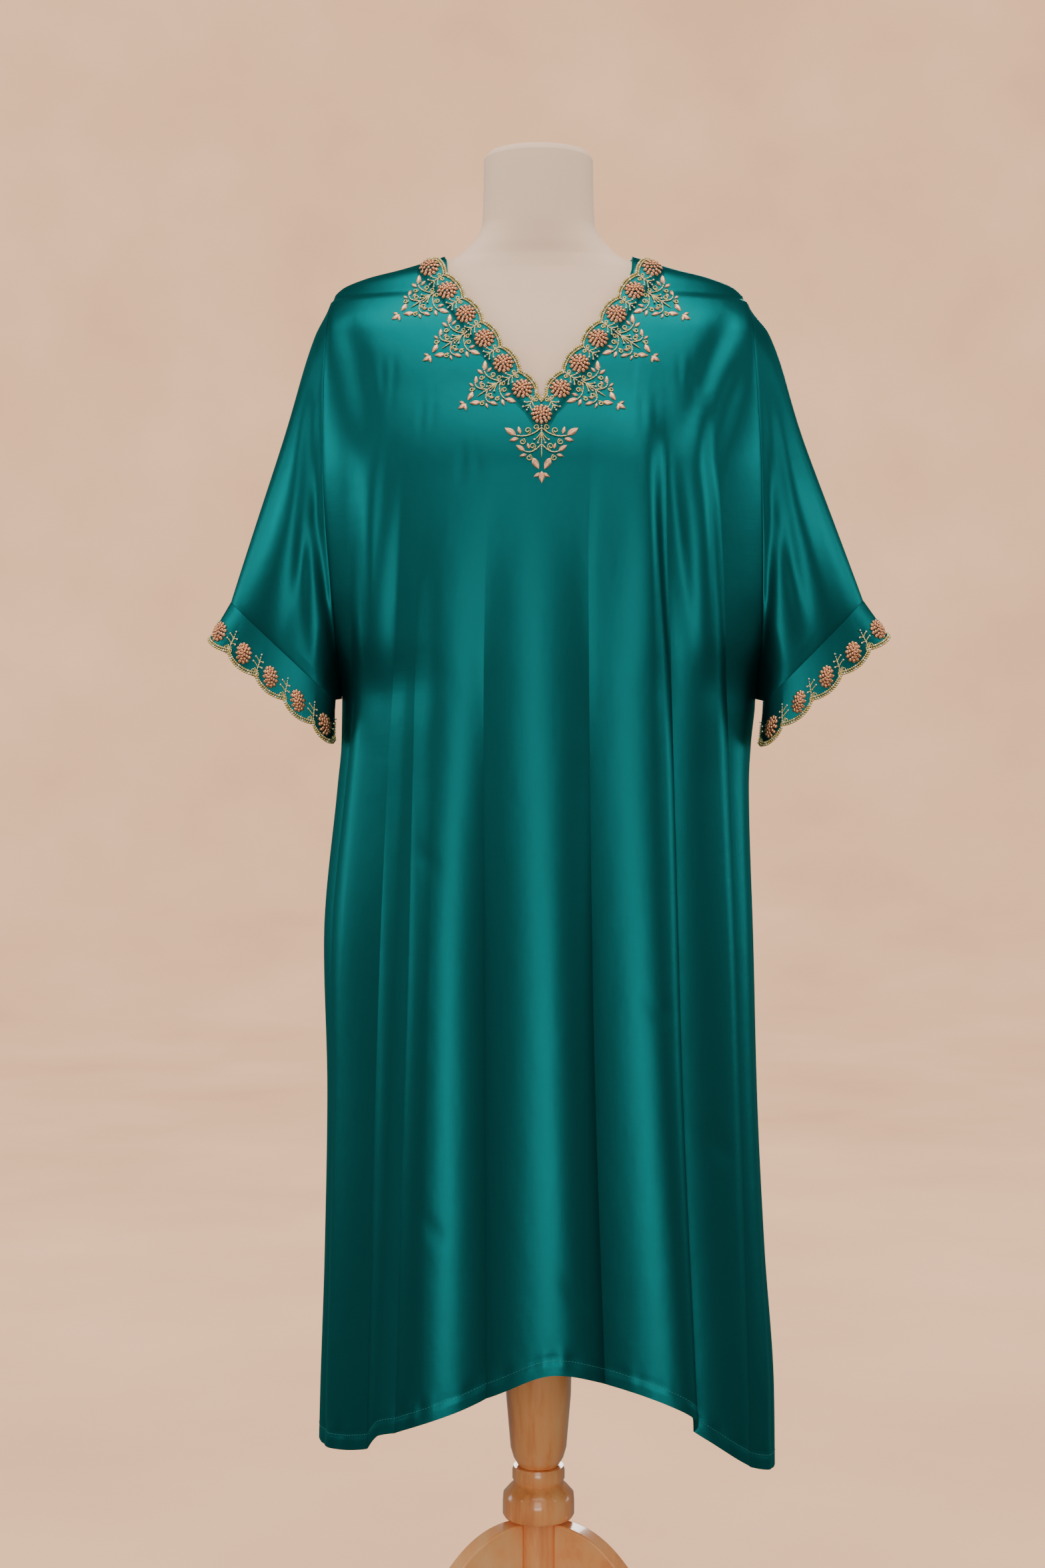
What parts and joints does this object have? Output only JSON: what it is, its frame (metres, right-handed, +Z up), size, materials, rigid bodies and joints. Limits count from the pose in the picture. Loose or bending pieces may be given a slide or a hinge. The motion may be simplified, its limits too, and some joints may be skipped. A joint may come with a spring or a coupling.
{
  "type": "kaftan on dress form",
  "caption": "Calf-length teal satin kaftan with V neck, wide elbow sleeves and scalloped gold edging, worn by a limbless dress form on a turned wooden stand",
  "frame": {"origin": "on the floor, under the middle of the object's box", "axes": "+X to the viewer's right as seen from the front, +Y from the kaftan's front to its back, +Z up"},
  "size_m": [0.6678, 0.3816, 1.589],
  "materials": {
    "teal_satin": "glossy silk satin with a soft directional sheen",
    "embroidery": "gold bead and metal-thread embroidery over satin",
    "linen_cover": "matt woven linen stretched over the form",
    "honey_wood": "honey-coloured wood under clear gloss lacquer"
  },
  "bodies": {
    "root": {"front_panel": "teal_satin", "back_panel": "teal_satin", "sleeve_left": "teal_satin", "sleeve_right": "teal_satin", "cuff_left": "embroidery", "cuff_right": "embroidery", "neck_edging": "embroidery", "form_torso": "linen_cover", "pole": "honey_wood", "pole_collar": "honey_wood", "stand_hub": "honey_wood", "leg_front_left": "honey_wood", "leg_front_right": "honey_wood", "leg_back": "honey_wood"}
  },
  "joints": []
}
